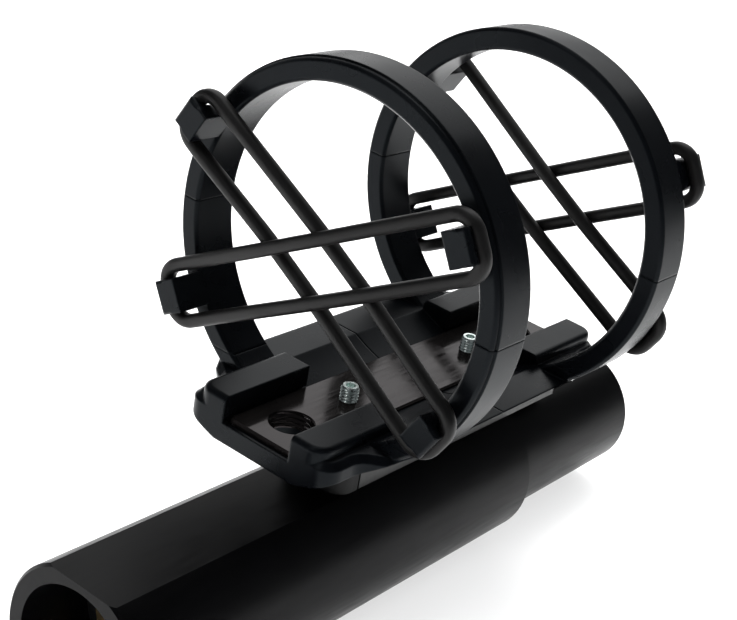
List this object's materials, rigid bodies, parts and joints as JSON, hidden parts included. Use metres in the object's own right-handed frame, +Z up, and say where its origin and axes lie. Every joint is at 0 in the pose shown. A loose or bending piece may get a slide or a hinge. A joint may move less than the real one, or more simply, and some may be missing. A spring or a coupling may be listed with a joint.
{
  "type": "microphone shock mount",
  "caption": "Microphone shock mount: open rings with crossed elastic bands on a slotted cradle and rail, on a tube handle that folds flat under it.",
  "frame": {"origin": "mouth of the boom thread in the end of the handle, on the handle's axis", "axes": "+X along the handle, from the boom thread to the tilt pivot; +Z up from the handle to the rings"},
  "size_m": [0.168, 0.08, 0.1239],
  "materials": {
    "handle_coat": "satin black",
    "bracket_coat": "satin black",
    "black_moulding": "satin moulded",
    "rail_gloss": "gloss black",
    "band_rubber": "matte",
    "pad_rubber": "matte",
    "zinc_screw": "bright zinc",
    "black_screw": "black oxide",
    "thread_brass": "machined",
    "washer_plastic": "plain"
  },
  "bodies": {
    "handle": {"handle_tube": "handle_coat", "end_plug": "black_moulding", "thread_insert": "thread_brass", "handle_head": "handle_coat", "head_lock_screw": "black_screw", "pivot_screw": "black_screw", "far_friction_washer": "washer_plastic", "near_friction_washer": "washer_plastic"},
    "mount": {"tilt_bracket": "bracket_coat", "rest_pad": "pad_rubber", "rail_plate": "rail_gloss", "front_stop_screw": "zinc_screw", "rear_stop_screw": "zinc_screw", "front_fixing_screw": "black_screw", "rear_fixing_screw": "black_screw", "front_frame": "black_moulding", "rear_frame": "black_moulding", "front_hoop": "black_moulding", "rear_hoop": "black_moulding", "front_back_band": "band_rubber", "front_top_band": "band_rubber", "rear_back_band": "band_rubber", "rear_top_band": "band_rubber", "front_far_arch": "black_moulding", "front_near_arch": "black_moulding", "rear_far_arch": "black_moulding", "rear_near_arch": "black_moulding"}
  },
  "joints": [
    {"name": "handle_tilt", "type": "hinge", "parent": "handle", "child": "mount", "pos_m": [0.139, 0, 0], "axis": [0, 1, 0], "range_deg": [0, 90]}
  ]
}
